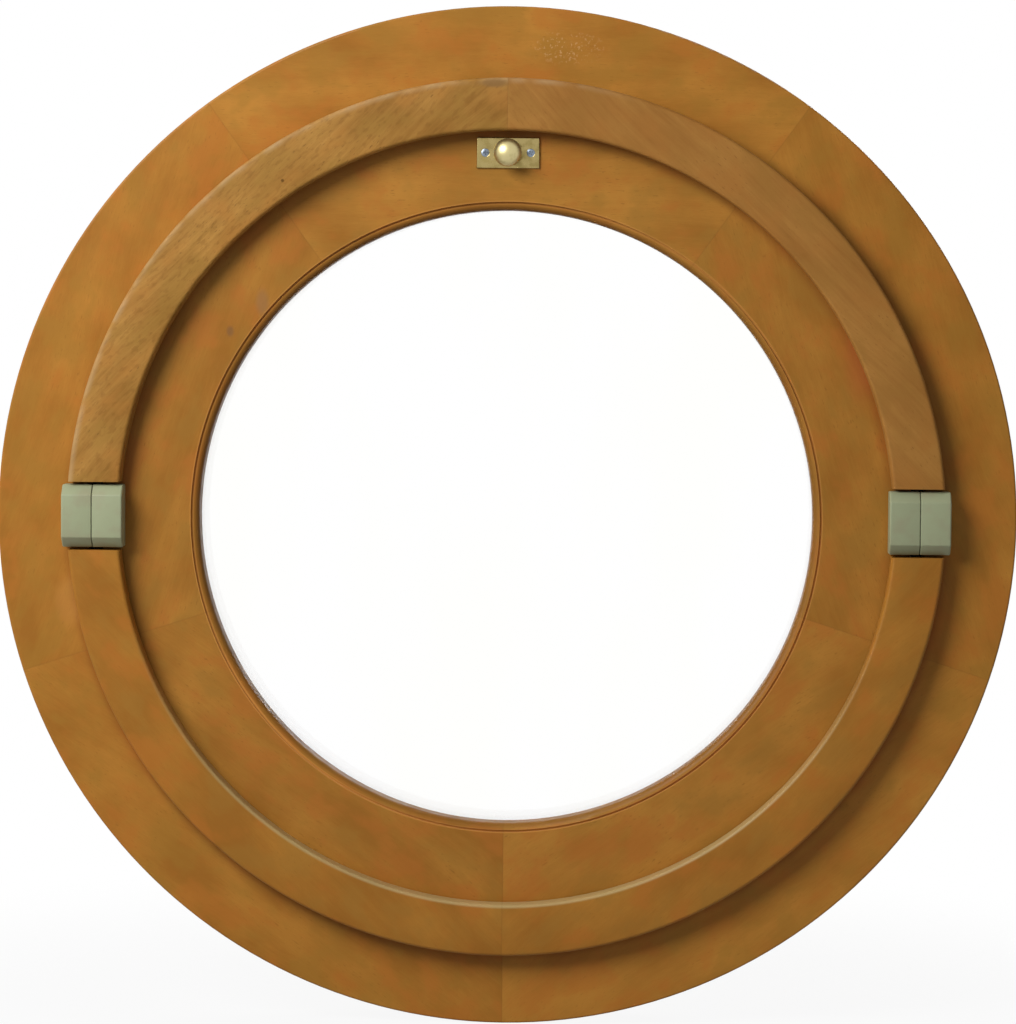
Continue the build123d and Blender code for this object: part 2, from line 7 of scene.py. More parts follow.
# %% Load the solids
import json
import math

import bmesh
import bpy
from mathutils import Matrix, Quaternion, Vector

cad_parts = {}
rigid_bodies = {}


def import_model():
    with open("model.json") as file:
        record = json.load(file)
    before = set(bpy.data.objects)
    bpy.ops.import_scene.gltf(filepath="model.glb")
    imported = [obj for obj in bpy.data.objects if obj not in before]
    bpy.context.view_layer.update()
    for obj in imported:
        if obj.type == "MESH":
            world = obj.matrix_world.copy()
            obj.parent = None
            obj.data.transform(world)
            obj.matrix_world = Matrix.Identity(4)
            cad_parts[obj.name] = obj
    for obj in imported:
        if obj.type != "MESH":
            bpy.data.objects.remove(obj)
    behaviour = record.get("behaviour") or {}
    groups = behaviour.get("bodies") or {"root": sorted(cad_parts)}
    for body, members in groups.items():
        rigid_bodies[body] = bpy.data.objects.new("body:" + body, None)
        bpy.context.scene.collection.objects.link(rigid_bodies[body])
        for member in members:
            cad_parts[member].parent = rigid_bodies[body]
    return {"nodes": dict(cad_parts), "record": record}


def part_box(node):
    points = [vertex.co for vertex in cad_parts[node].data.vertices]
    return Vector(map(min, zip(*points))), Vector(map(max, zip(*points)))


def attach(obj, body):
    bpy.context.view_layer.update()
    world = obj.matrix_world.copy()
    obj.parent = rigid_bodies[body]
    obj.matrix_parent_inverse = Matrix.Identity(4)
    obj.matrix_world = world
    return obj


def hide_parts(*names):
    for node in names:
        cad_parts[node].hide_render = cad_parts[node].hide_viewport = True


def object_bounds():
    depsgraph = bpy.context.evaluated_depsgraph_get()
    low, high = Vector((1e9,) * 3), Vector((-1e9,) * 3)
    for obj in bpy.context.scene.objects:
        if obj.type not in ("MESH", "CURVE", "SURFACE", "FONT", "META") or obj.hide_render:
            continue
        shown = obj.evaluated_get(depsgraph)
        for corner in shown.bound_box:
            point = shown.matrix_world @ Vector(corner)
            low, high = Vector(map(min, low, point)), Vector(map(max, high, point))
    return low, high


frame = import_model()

solid_low, solid_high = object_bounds()
nodes = frame["nodes"]
bodies = frame["record"]["behaviour"]["bodies"]
body_of = {node: body for body, names in bodies.items() for node in names}
slot_of = {part["node"]: part["material_slot"] for part in frame["record"]["subparts"]}
print("solids:", len(nodes), "box in mm:", [round(1000 * side) for side in solid_high - solid_low])

# %% [markdown]
# ## Camera
# The window was photographed from the room side, almost square on, from a little to the right and a
# little above. How far away the camera stood shows in the rings: seen from above, a large ring
# slides up in the picture when the camera is near, and what stands proud slides down. The distance
# and the two angles here bring the rim, the glass, the stops and the pivot covers to their places
# together. The roll is there because the left pivot stands slightly higher than the right one.

# %% Camera
room_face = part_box("frame_segment_top")[0].y
azimuth = math.radians(1.8)
elevation = math.radians(3.5)
roll = math.radians(0.43)
distance = 2.7
picture_height = 0.7033
aim = Vector((0.0017, room_face, 0.0045))
back = Vector((
    math.sin(azimuth) * math.cos(elevation),
    -math.cos(azimuth) * math.cos(elevation),
    math.sin(elevation),
))
camera_data = bpy.data.cameras.new("camera")
camera_data.lens = camera_data.sensor_width * distance / picture_height
camera = bpy.data.objects.new("camera", camera_data)
camera.location = aim + back * distance
camera.rotation_mode = "QUATERNION"
camera.rotation_quaternion = (-back).to_track_quat("-Z", "Y") @ Quaternion((0, 0, 1), roll)
bpy.context.scene.collection.objects.link(camera)
bpy.context.scene.camera = camera
print("lens in mm:", round(camera_data.lens, 1))

# %% [markdown]
# ## A bench for node trees
# Finishes and shapes below are node trees, and most of their nodes are arithmetic. Wiring each Math
# node by hand hides what is worked out. Here one small class holds a socket and takes over the
# arithmetic signs, so that `1 - grain * 0.3` adds its own nodes, and one method adds any other
# node.

# %% Node bench
class Wire:
    """A socket of a node tree. Arithmetic on it adds Math nodes to the tree."""

    def __init__(self, bench, socket):
        self.bench = bench
        self.socket = socket

    def __add__(self, other):
        return self.bench.maths("ADD", self, other)

    def __radd__(self, other):
        return self.bench.maths("ADD", other, self)

    def __sub__(self, other):
        return self.bench.maths("SUBTRACT", self, other)

    def __rsub__(self, other):
        return self.bench.maths("SUBTRACT", other, self)

    def __mul__(self, other):
        return self.bench.maths("MULTIPLY", self, other)

    def __rmul__(self, other):
        return self.bench.maths("MULTIPLY", other, self)

    def __truediv__(self, other):
        return self.bench.maths("DIVIDE", self, other)

    def __rtruediv__(self, other):
        return self.bench.maths("DIVIDE", other, self)

    def output(self, name):
        """Another output of the same node."""
        return Wire(self.bench, self.socket.node.outputs[name])


class Bench:
    """A node tree, and one way to add a node to it."""

    def __init__(self, tree):
        self.tree = tree

    def add(self, kind, settings=None, sockets=None, out=0):
        """Adds a node with its settings, fills its sockets and gives back one of its outputs."""
        node = self.tree.nodes.new(kind)
        for name, value in (settings or {}).items():
            setattr(node, name, value)
        for name, value in (sockets or {}).items():
            if isinstance(value, Wire):
                self.tree.links.new(value.socket, node.inputs[name])
            else:
                node.inputs[name].default_value = value
        return Wire(self, node.outputs[out] if len(node.outputs) else None)

    def maths(self, operation, *terms):
        return self.add("ShaderNodeMath", {"operation": operation}, dict(enumerate(terms)))

    def vector(self, operation, *terms):
        return self.add("ShaderNodeVectorMath", {"operation": operation}, dict(enumerate(terms)))

    def combine(self, x, y, z):
        return self.add("ShaderNodeCombineXYZ", {}, {"X": x, "Y": y, "Z": z})

    def split(self, vector):
        parts = self.add("ShaderNodeSeparateXYZ", {}, {"Vector": vector})
        return parts, parts.output("Y"), parts.output("Z")

    def clamp(self, value, low=0.0, high=1.0):
        return self.maths("MINIMUM", self.maths("MAXIMUM", value, low), high)

    def ease(self, value, start, end):
        """0 before start and 1 after end, turning smoothly between them."""
        settings = {"interpolation_type": "SMOOTHSTEP"}
        return self.add(
            "ShaderNodeMapRange", settings, {"Value": value, "From Min": start, "From Max": end}
        )


# %% [markdown]
# ## What every finish shares
# A finish is a Principled shader whose colour, roughness and bump vary with the place on the piece.
# Colours are written as they look on screen, from 0 to 255, and turned into the linear values that
# the shader wants. Noise is asked for by the size of its spots in millimetres.

# %% Finish bench
def paint(red, green, blue):
    """A screen colour as the linear colour that a shader takes."""
    linear = []
    for part in (red, green, blue):
        share = part / 255
        linear.append(share / 12.92 if share <= 0.04045 else ((share + 0.055) / 1.055) ** 2.4)
    return (*linear, 1.0)


class Finish(Bench):
    """A material under way."""

    def __init__(self, name):
        self.material = bpy.data.materials.new(name)
        self.material.use_nodes = True
        super().__init__(self.material.node_tree)
        self.tree.nodes.clear()
        self.place = self.add("ShaderNodeTexCoord", out="Object")

    def mix(self, factor, first, second):
        """Two colours mixed. Sockets 6 and 7 are the node's colours, and output 2 is its colour."""
        sockets = {0: factor, 6: first, 7: second}
        return self.add("ShaderNodeMix", {"data_type": "RGBA"}, sockets, out=2)

    def spots(self, size, where=None, detail=3.0, roughness=0.5, stretch=(1, 1, 1)):
        """Cloudy noise about 0.5, with spots of a size in millimetres, drawn out by stretch."""
        where = where or self.place
        scaled = self.vector("MULTIPLY", where, tuple(1000 / size / part for part in stretch))
        sockets = {"Vector": scaled, "Scale": 1.0, "Detail": detail, "Roughness": roughness}
        return self.add("ShaderNodeTexNoise", {"noise_dimensions": "3D"}, sockets)

    def bump(self, height, depth):
        """A normal bent by a height, whose full range is a depth in millimetres."""
        sockets = {"Height": height, "Distance": depth / 1000, "Strength": 1.0}
        return self.add("ShaderNodeBump", {}, sockets)

    def finish(self, colour, roughness, normal, **fixed):
        """Adds the shader. What varies comes in as wires, the rest as numbers on its sockets."""
        sockets = {"Base Color": colour, "Roughness": roughness, "Normal": normal}
        sockets.update({name.replace("_", " "): value for name, value in fixed.items()})
        shader = self.add("ShaderNodeBsdfPrincipled", {}, sockets)
        self.add("ShaderNodeOutputMaterial", {}, {"Surface": shader})
        return self.material


# %% [markdown]
# ## Boards
# Both rings are glued up from five straight boards, and the stops and beads from four, so the grain
# runs straight along each piece and changes direction at the joints. A texture painted by hand
# would need an unwrapped mesh for every piece. Instead the shader works out, from the place alone,
# which board it is on, and turns the place to that board's own length. Each board takes its figure
# from another part of the noise, 1.7 m further on, and its grain wanders sideways by up to 30 mm.

# %% The board under a point
board_shift = 1.7
grain_wander = 0.03


class Board:
    """A straight-grained board of a ring, as the shader finds it from the place."""

    def __init__(self, bench, pieces, first_centre):
        self.x, self.y, self.z = bench.split(bench.place)
        span = 2 * math.pi / pieces
        angle = bench.maths("ARCTAN2", self.x, self.z)
        self.number = bench.maths("ROUND", (angle - first_centre) / span)
        centre = self.number * span + first_centre
        cosine, sine = bench.maths("COSINE", centre), bench.maths("SINE", centre)
        along = self.x * cosine - self.z * sine + self.number * board_shift
        across = self.x * sine + self.z * cosine
        self.radius = bench.maths("SQRT", self.x * self.x + self.z * self.z)
        self.to_joint = (span / 2 - bench.maths("ABSOLUTE", angle - centre)) * self.radius
        self.plain = bench.combine(along, across, self.y)
        drift = bench.spots(70, self.plain, detail=1, stretch=(3, 1, 1))
        self.grain = bench.combine(along, across + drift * grain_wander, self.y)
        self.tone = bench.add(
            "ShaderNodeTexWhiteNoise", {"noise_dimensions": "1D"}, {"W": self.number}, out="Value"
        )


# %% [markdown]
# ## Timber
# The wood is a plain softwood under a honey-brown satin lacquer. Close up it is mostly soft
# mottling, now more orange, now more olive, with faint growth bands, fine streaks and a few pores.
# The glue lines are hairs of darker brown, and neighbouring boards differ a little in tone. On the
# lower side the frame gets a reddish brown painted shadow at the foot of the stops. A few marks of
# use are put where the real window has them: each is a place on the front, with its reach, its
# colour, its strength and, where it is broken up, the size of its speckles.

# %% Timber finish
satin = 0.42


def mark_mask(bench, board, x, z, reach_x, reach_z):
    """1 at a place on the room side, falling to 0 at its reach, in millimetres."""
    off_x = (board.x * 1000 - x) / reach_x
    off_z = (board.z * 1000 - z) / reach_z
    away = bench.maths("SQRT", off_x * off_x + off_z * off_z)
    front = 1 - bench.ease(board.y, -0.020, -0.010)
    return (1 - bench.ease(away, 0.35, 1.0)) * front


def timber_colour(bench, board, pale, deep, rust, olive, figure, pores):
    """Mottled and banded wood colour, and the height of its fibres and pores."""
    clouds = bench.spots(34, board.plain, detail=3, roughness=0.45, stretch=(1.5, 1, 1))
    hue = bench.spots(20, board.plain, detail=3, stretch=(1.4, 1, 1))
    bands = bench.spots(5, board.grain, detail=2, stretch=(18, 1, 1))
    streaks = bench.spots(1.3, board.grain, detail=2, stretch=(24, 1, 1))
    fibres = bench.spots(0.7, board.grain, detail=3, stretch=(8, 1, 1))
    tone = (clouds - 0.5) * 2.2 + (bands - 0.5) * figure + (streaks - 0.5) * figure * 0.7
    tone = bench.clamp(tone + (board.tone - 0.5) * 0.35 + (fibres - 0.5) * 0.5 + 0.5)
    colour = bench.mix(tone, deep, pale)
    colour = bench.mix(bench.ease(hue, 0.5, 0.68) * 0.55, colour, rust)
    colour = bench.mix((1 - bench.ease(hue, 0.34, 0.5)) * 0.5, colour, olive)
    pore = bench.spots(0.9, board.grain, detail=1, stretch=(5, 1, 1))
    pore_mask = bench.ease(pore, 0.66, 0.74) * bench.ease(clouds, 0.4, 0.6) * pores
    colour = bench.mix(pore_mask, colour, tuple(part * 0.4 for part in deep[:3]) + (1,))
    return colour, fibres * 0.6 + bands * 0.4 - pore_mask * 0.6


def lacquered(bench, board, colour, height, gloss, dark, marks):
    """The glue lines, the marks and the lacquer over a wood colour.

    A mark is (x, z, reach in x, reach in z, colour, strength, speckle size or 0), in millimetres.
    """
    glue = 1 - bench.ease(board.to_joint, 0.0001, 0.0008)
    colour = bench.mix(glue * 0.14, colour, dark)
    rough = gloss + (bench.spots(16, board.plain) - 0.5) * 0.25
    for x, z, reach_x, reach_z, shade, strength, speckle in marks:
        mask = mark_mask(bench, board, x, z, reach_x, reach_z)
        if speckle:
            mask = mask * bench.ease(bench.spots(speckle, board.plain, detail=2), 0.56, 0.66)
        colour = bench.mix(mask * strength, colour, shade)
        rough = rough + mask * 0.15
    normal = bench.bump(height - glue * 0.5, 0.04)
    return bench.finish(colour, bench.clamp(rough, 0.2, 0.85), normal, Specular_IOR_Level=0.15)


def ring_timber(name, pieces, first_centre, marks=(), foot_shade=False, **wood):
    """A ring of boards, with a painted shadow at the foot of the lower stops when asked for."""
    bench = Finish(name)
    board = Board(bench, pieces, first_centre)
    colour, height = timber_colour(bench, board, **wood)
    # Painted shadow: the frame just outside the lower stops is darkened reddish brown, where their
    # shadow falls.
    if foot_shade:
        lower_side = 1 - bench.ease(board.z, -0.12, 0.15)
        foot = (1 - bench.ease(board.radius, 0.3010, 0.3080)) * lower_side
        colour = bench.mix(foot * 0.5, colour, paint(112, 54, 10))
    return lacquered(bench, board, colour, height, satin, paint(96, 58, 20), marks)


finishes = {}
finishes["frame_timber"] = ring_timber(
    "frame_timber", 5, 0.0, foot_shade=True, figure=0.35, pores=0.25,
    pale=paint(178, 122, 48), deep=paint(152, 99, 33),
    rust=paint(174, 106, 39), olive=paint(154, 110, 40),
    marks=[
        (40, 322, 32, 14, paint(206, 160, 108), 0.5, 2.0),
        (-300, -60, 14, 22, paint(196, 138, 70), 0.25, 0),
    ],
)
print("timber finishes:", len(finishes))

# %% [markdown]
# ## Sash timber
# The sash is the same wood with more to it. The narrow quirk beside the rounded inner moulding is
# painted lighter on the front, most of all at the bottom: painted light against the groove's own
# shadow. The edge against the glass is a darker olive brown all round, and painted shade darkens
# the moulding more at the upper left, where it faces away from the lamp. A painted shadow darkens
# the sash at the foot of the upper stops. All of these follow the circle, so each is a band of the
# radius, given by where it sets in and where it is full, in metres.

# %% Sash timber
quirk_inner, quirk_outer = (0.2148, 0.2156), (0.2169, 0.2180)
lip_band = (0.2125, 0.2150)
moulding_shade_band = (0.2140, 0.2170)
upper_foot_shade_band = (0.2580, 0.2655)


def sash_finish(name):
    bench = Finish(name)
    board = Board(bench, 5, 0.0)
    colour, height = timber_colour(
        bench, board, figure=0.4, pores=0.35,
        pale=paint(175, 121, 49), deep=paint(149, 98, 34),
        rust=paint(171, 103, 40), olive=paint(150, 108, 42),
    )
    # Painted light: the quirk is lightened on the front, more towards the bottom, against its own
    # shadow.
    quirk_light = bench.ease(board.radius, *quirk_inner) * (1 - bench.ease(board.radius, *quirk_outer))
    front = 1 - bench.ease(board.y, -0.0285, -0.0150)
    low = 1 - bench.ease(board.z, -0.15, 0.10)
    colour = bench.mix(quirk_light * front * (0.5 + low * 0.3), colour, paint(206, 144, 72))
    lip = 1 - bench.ease(board.radius, *lip_band)
    colour = bench.mix(lip * 0.6, colour, paint(116, 76, 24))
    inner = 1 - bench.ease(board.radius, *moulding_shade_band)
    # Painted shade: the moulding is darkened at the upper left, where it faces away from the lamp.
    shaded_side = bench.ease(board.z - board.x, -0.05, 0.25)
    colour = bench.mix(inner * shaded_side * 0.45, colour, paint(112, 66, 16))
    # Painted shadow of the upper stops on the sash, darkest at their foot.
    foot = bench.ease(board.radius, *upper_foot_shade_band) * bench.ease(board.z, -0.1, 0.1) * front
    colour = bench.mix(foot * 0.45, colour, paint(112, 58, 14))
    marks = [
        (243, 113, 16, 40, paint(168, 86, 40), 0.45, 0),
        (-168, 147, 6, 12, paint(140, 104, 66), 0.5, 0),
        (-190, 127, 3.5, 5, paint(118, 84, 52), 0.6, 0),
    ]
    return lacquered(bench, board, colour, height, satin, paint(92, 56, 20), marks)


finishes["sash_timber"] = sash_finish("sash_timber")

# %% [markdown]
# ## Stop and bead timber
# The upper stops have lost their shine: they are paler, more tan than orange, and rough, with clear
# fibrous streaks along each piece, and curly, rowed flecks at the left. The lower ones are smooth
# and warm like the rings, with a pale khaki painted highlight on the ledge that faces up. The outer
# edge at the upper left, towards the lamp, has a pale painted highlight in patches. Both pairs are
# one finish, so the shader blends two woods by height, where the pivots part the pieces.

# %% Stop timber
edge_highlight_band = (0.2955, 0.2995)
ledge_highlight_band = (0.2662, 0.2682)


def stop_finish(name):
    bench = Finish(name)
    board = Board(bench, 4, math.pi / 4)
    low, low_height = timber_colour(
        bench, board, figure=0.35, pores=0.2,
        pale=paint(174, 119, 46), deep=paint(150, 98, 33),
        rust=paint(172, 104, 38), olive=paint(152, 108, 42),
    )
    high, high_height = timber_colour(
        bench, board, figure=1.1, pores=0.6,
        pale=paint(176, 129, 62), deep=paint(142, 99, 40),
        rust=paint(168, 114, 50), olive=paint(150, 112, 48),
    )
    curl = bench.spots(3.2, board.grain, detail=2, stretch=(2.2, 1, 1))
    curl_share = (1 - bench.ease(board.x, -0.05, 0.12)) * 0.3
    high = bench.mix(bench.ease(curl, 0.52, 0.66) * curl_share, high, paint(120, 78, 28))
    high_height = high_height + curl * curl_share * 2.0
    high = bench.mix(bench.ease(board.x, -0.002, 0.002) * 0.45, high, paint(152, 98, 44))
    # Painted highlight along the outer edge at the upper left, the side towards the lamp, broken
    # into patches.
    rub_and_highlight = bench.ease(board.radius, *edge_highlight_band) * (1 - bench.ease(board.x, 0.02, 0.1))
    rub_and_highlight = rub_and_highlight * bench.ease(bench.spots(14, board.grain, detail=1), 0.2, 0.7)
    high = bench.mix(rub_and_highlight * 0.4, high, paint(186, 158, 118))
    upper = bench.ease(board.z, -0.005, 0.005)
    # Painted highlight on the lower stops' inner edge, which faces up towards the light.
    ledge_highlight = (1 - bench.ease(board.radius, *ledge_highlight_band)) * (1 - bench.ease(board.z, -0.23, -0.06))
    low = bench.mix(ledge_highlight * 0.6, low, paint(180, 164, 116))
    colour = bench.mix(upper, low, high)
    height = low_height + upper * (high_height * 2.5 - low_height)
    marks = [
        (-9, 297, 13, 4, paint(132, 98, 56), 0.8, 0),
        (-153, 230, 1.6, 1.6, paint(84, 54, 18), 0.8, 0),
    ]
    return lacquered(bench, board, colour, height, upper * 0.16 + satin, paint(92, 58, 22), marks)


finishes["stop_timber"] = stop_finish("stop_timber")
finishes["bead_timber"] = ring_timber(
    "bead_timber", 4, math.pi / 4, figure=0.5, pores=0.3,
    pale=paint(184, 132, 62), deep=paint(154, 102, 40),
    rust=paint(176, 108, 46), olive=paint(156, 112, 50),
)
print("timber finishes:", len(finishes))

# %% [markdown]
# ## Dowels
# The dowels hide inside the joints and show only when the window is taken apart. They are turned
# beech: pale, plain, with short brown flecks.

# %% Dowel finish
def beech(name):
    bench = Finish(name)
    flecks = bench.spots(0.7, detail=1, stretch=(4, 1, 4))
    clouds = bench.spots(9)
    colour = bench.mix(clouds, paint(214, 178, 132), paint(196, 156, 110))
    colour = bench.mix(bench.ease(flecks, 0.62, 0.7) * 0.5, colour, paint(140, 98, 60))
    rough = 0.55 + (clouds - 0.5) * 0.2
    return bench.finish(colour, rough, bench.bump(flecks, 0.05), Specular_IOR_Level=0.3)


finishes["dowel_timber"] = beech("dowel_timber")
print("finishes so far:", len(finishes))

# %% [markdown]
# ## Moulded plastics
# The pivot covers are grey-green plastic out of a spark-eroded mould: a very fine even grain, a
# little handling dirt in soft clouds, and a few rubbed, smoother spots. The same recipe with other
# colours makes the bushes and the packers under the glass.

# %% Plastic finish
def moulded(name, colour, soiled):
    bench = Finish(name)
    texture = bench.spots(0.3, detail=1)
    clouds = bench.spots(14)
    rub_and_highlight = bench.ease(bench.spots(5, detail=4, roughness=0.7), 0.56, 0.66)
    shade = bench.mix(bench.ease(clouds, 0.42, 0.7) * 0.6, colour, soiled)
    rough = 0.48 + (clouds - 0.5) * 0.15 - rub_and_highlight * 0.08
    return bench.finish(shade, rough, bench.bump(texture, 0.012), Specular_IOR_Level=0.35)


finishes["cover_plastic"] = moulded("cover_plastic", paint(149, 155, 122), paint(146, 142, 113))
finishes["pivot_polymer"] = moulded("pivot_polymer", paint(226, 220, 204), paint(206, 196, 176))
finishes["block_plastic"] = moulded("block_plastic", paint(60, 116, 72), paint(50, 100, 62))
print("finishes so far:", len(finishes))

# %% [markdown]
# ## Metals
# Metal is all in the highlights, so its roughness matters more than its colour. Each metal gets
# fine scratches, a soft cloud of dulling and, where it was turned or brushed, lines in one
# direction. Brass also darkens to olive brown in places, and zinc plate has a bluish bloom.

# %% Metal finish
def metal(name, colour, dulled, rough, lines=(1, 1, 1), tarnish=0.6):
    """Lines give how far the brushing stretches along each axis."""
    bench = Finish(name)
    brushed = bench.spots(0.3, detail=2, stretch=lines)
    clouds = bench.spots(6, detail=4, roughness=0.6)
    scratches = bench.ease(bench.spots(0.5, detail=1, stretch=(12, 12, 1)), 0.66, 0.7)
    dull = bench.ease(clouds, 0.42, 0.7) * tarnish
    shade = bench.mix(dull, colour, dulled)
    gloss = bench.clamp(rough + dull * 0.2 + (brushed - 0.5) * 0.15 - scratches * 0.05, 0.08, 0.9)
    normal = bench.bump(brushed * 0.7 - scratches * 0.3, 0.006)
    return bench.finish(shade, gloss, normal, Metallic=1.0)


# %% Metals of the fittings
for name, bright, dulled, *more in (
    ("catch_brass", (168, 150, 98), (132, 114, 62), 0.22),
    ("knob_brass", (200, 186, 136), (158, 146, 92), 0.36, (1, 1, 1), 0.5),
    ("bolt_brass", (206, 178, 104), (170, 136, 72), 0.25, (1, 1, 30)),
    ("latch_steel", (186, 188, 190), (150, 150, 148), 0.35, (30, 1, 1)),
    ("pivot_casting", (180, 180, 176), (140, 140, 134), 0.45),
    ("pivot_steel", (176, 178, 180), (150, 148, 146), 0.22, (1, 30, 30)),
    ("screw_zinc", (134, 144, 156), (108, 114, 124), 0.3),
    ("spacer_aluminium", (206, 206, 208), (180, 180, 182), 0.35),
):
    finishes[name] = metal(name, paint(*bright), paint(*dulled), *more)
print("finishes so far:", len(finishes))

# %% [markdown]
# ## Rubber, tape and sealant
# The seals are extruded black rubber with shallow pores and grey chalking. Tape and sealant are the
# same stuff with deeper pores.

# %% Rubber finish
def rubber(name, colour, chalk, pore, depth):
    bench = Finish(name)
    pores = bench.spots(pore)
    clouds = bench.spots(10)
    shade = bench.mix(bench.ease(clouds, 0.45, 0.8) * 0.6, colour, chalk)
    rough = 0.62 + (clouds - 0.5) * 0.3
    return bench.finish(shade, rough, bench.bump(pores, depth), Specular_IOR_Level=0.3)


finishes["seal_rubber"] = rubber("seal_rubber", paint(34, 34, 34), paint(62, 60, 58), 1.2, 0.02)
finishes["glazing_tape"] = rubber("glazing_tape", paint(72, 72, 72), paint(96, 94, 92), 0.5, 0.08)
finishes["edge_sealant"] = rubber("edge_sealant", paint(26, 26, 28), paint(44, 44, 44), 2.5, 0.1)
print("finishes so far:", len(finishes))

# %% [markdown]
# ## Glass
# Both panes are clear float glass. It is drawn with real transmission, so the white behind it stays
# white. Float glass is never quite flat: a very long, very shallow ripple bends what it reflects.
# Where it was wiped less well it is a hair rougher and warmer, too little to see.

# %% Glass finish
def float_glass(name):
    bench = Finish(name)
    wiped = bench.spots(80, detail=2, stretch=(1, 1, 3))
    colour = bench.mix(bench.ease(wiped, 0.4, 0.7), paint(255, 255, 255), paint(255, 255, 254))
    rough = bench.ease(wiped, 0.55, 0.8) * 0.001
    ripple = bench.bump(bench.spots(120, detail=0), 0.01)
    return bench.finish(colour, rough, ripple, Transmission_Weight=1.0, IOR=1.45)


finishes["pane_glass"] = float_glass("pane_glass")
print("finishes so far:", len(finishes))

# %% [markdown]
# ## Finishes on the solids
# Every solid carries the name of its material slot, and a finish was made above under each of those
# names. So one loop dresses them all, also those that a better looking piece replaces later.

# %% Give every solid its finish
for node, finish_name in slot_of.items():
    mesh = nodes[node].data
    mesh.materials.clear()
    mesh.materials.append(finishes[finish_name])
print("solids with a finish:", len(slot_of), "finishes:", len(finishes))

# %% [markdown]
# ## A bench for shapes
# What follows a rule is made by Geometry Nodes: mouldings bent round the window, and screws that
# repeat. A shape tree gets named inputs for its sizes, works on a small start mesh, and ends by
# making its instances real and giving them their finish. The result is then turned into a plain
# mesh, so that nothing of the tree is left on the piece.

# %% Shape bench
class Shape(Bench):
    """A Geometry Nodes tree under way, with named inputs."""

    def __init__(self, name, inputs):
        tree = bpy.data.node_groups.new(name, "GeometryNodeTree")
        face = tree.interface
        face.new_socket("Start", in_out="INPUT", socket_type="NodeSocketGeometry")
        self.keys = {}
        for label, kind in {**inputs, "Finish": "Material"}.items():
            socket = face.new_socket(label, in_out="INPUT", socket_type="NodeSocket" + kind)
            self.keys[label] = socket.identifier
        face.new_socket("Result", in_out="OUTPUT", socket_type="NodeSocketGeometry")
        super().__init__(tree)
        self.start = self.add("NodeGroupInput", out="Start")

    def close(self, geometry):
        """Makes the instances real, gives the finish and sends the result out."""
        real = self.add("GeometryNodeRealizeInstances", {}, {"Geometry": geometry})
        sockets = {"Geometry": real, "Material": self.start.output("Finish")}
        finished = self.add("GeometryNodeSetMaterial", {}, sockets)
        self.add("NodeGroupOutput", {}, {"Result": finished})


def in_scene(name, mesh):
    thing = bpy.data.objects.new(name, mesh)
    bpy.context.scene.collection.objects.link(thing)
    return thing


def frozen(name, thing):
    """The evaluated object as a plain mesh of a new object. The old object goes."""
    depsgraph = bpy.context.evaluated_depsgraph_get()
    mesh = bpy.data.meshes.new_from_object(thing.evaluated_get(depsgraph), depsgraph=depsgraph)
    thing.modifiers.clear()
    bpy.data.objects.remove(thing)
    return in_scene(name, mesh)


def shaped(name, start_mesh, shape, values):
    """Runs a shape tree on a start mesh."""
    thing = in_scene(name + "_start", start_mesh)
    modifier = thing.modifiers.new("shape", "NODES")
    modifier.node_group = shape.tree
    for label, value in values.items():
        modifier[shape.keys[label]] = value
    return frozen(name, thing)


def trued(piece, sharp=30):
    """Merges doubles, points the faces outwards and keeps only real edges sharp."""
    mesh = piece.data
    shell = bmesh.new()
    shell.from_mesh(mesh)
    bmesh.ops.remove_doubles(shell, verts=shell.verts, dist=1e-6)
    bmesh.ops.recalc_face_normals(shell, faces=shell.faces)
    shell.to_mesh(mesh)
    shell.free()
    mesh.shade_smooth()
    mesh.set_sharp_from_angle(angle=math.radians(sharp))
    return piece


def stands_for(piece, node):
    """The piece takes the place and the body of a solid, whose own mesh is hidden."""
    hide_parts(node)
    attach(piece, body_of[node])


# %% [markdown]
# ## Bent mouldings
# Stops, beads and seals are one section carried round the axis, a quarter or a half turn long, and
# cut off level near the pivots. A spun mesh would end square to the curve instead. Here a straight
# run is swept along a line from 0 to 1, and each point is then bent to its own angle: the one at
# which a point of its radius reaches the height of the cut. So the ends come out flat at any
# height.

# %% Bending tree
bend = Shape("bent_moulding", {
    "Middle": "Float", "From": "Float", "To": "Float", "Cut height": "Float", "Steps": "Int",
})
line = bend.add("GeometryNodeCurvePrimitiveLine", {}, {"Start": (0, 0, 0), "End": (0, 0, 1)})
steps = bend.start.output("Steps")
stepped = bend.add("GeometryNodeResampleCurve", {}, {"Curve": line, "Count": steps})
section_curve = bend.add("GeometryNodeMeshToCurve", {}, {"Mesh": bend.start})
run = bend.add(
    "GeometryNodeCurveToMesh", {},
    {"Curve": stepped, "Profile Curve": section_curve, "Fill Caps": True},
)
radius, depth, part_way = bend.split(bend.add("GeometryNodeInputPosition"))
begin, end = bend.start.output("From"), bend.start.output("To")
quarter_turn = bend.maths("ARCCOSINE", bend.start.output("Cut height") / radius)
bent_angle = bend.start.output("Middle") + (begin + (end - begin) * part_way) * quarter_turn
bent_place = bend.combine(
    radius * bend.maths("SINE", bent_angle), depth, radius * bend.maths("COSINE", bent_angle)
)
bend.close(bend.add("GeometryNodeSetPosition", {}, {"Geometry": run, "Position": bent_place}))
print("inputs of the bending tree:", list(bend.keys))

# %% Sections to bend
corner_steps = 5
steps_per_quarter = 56


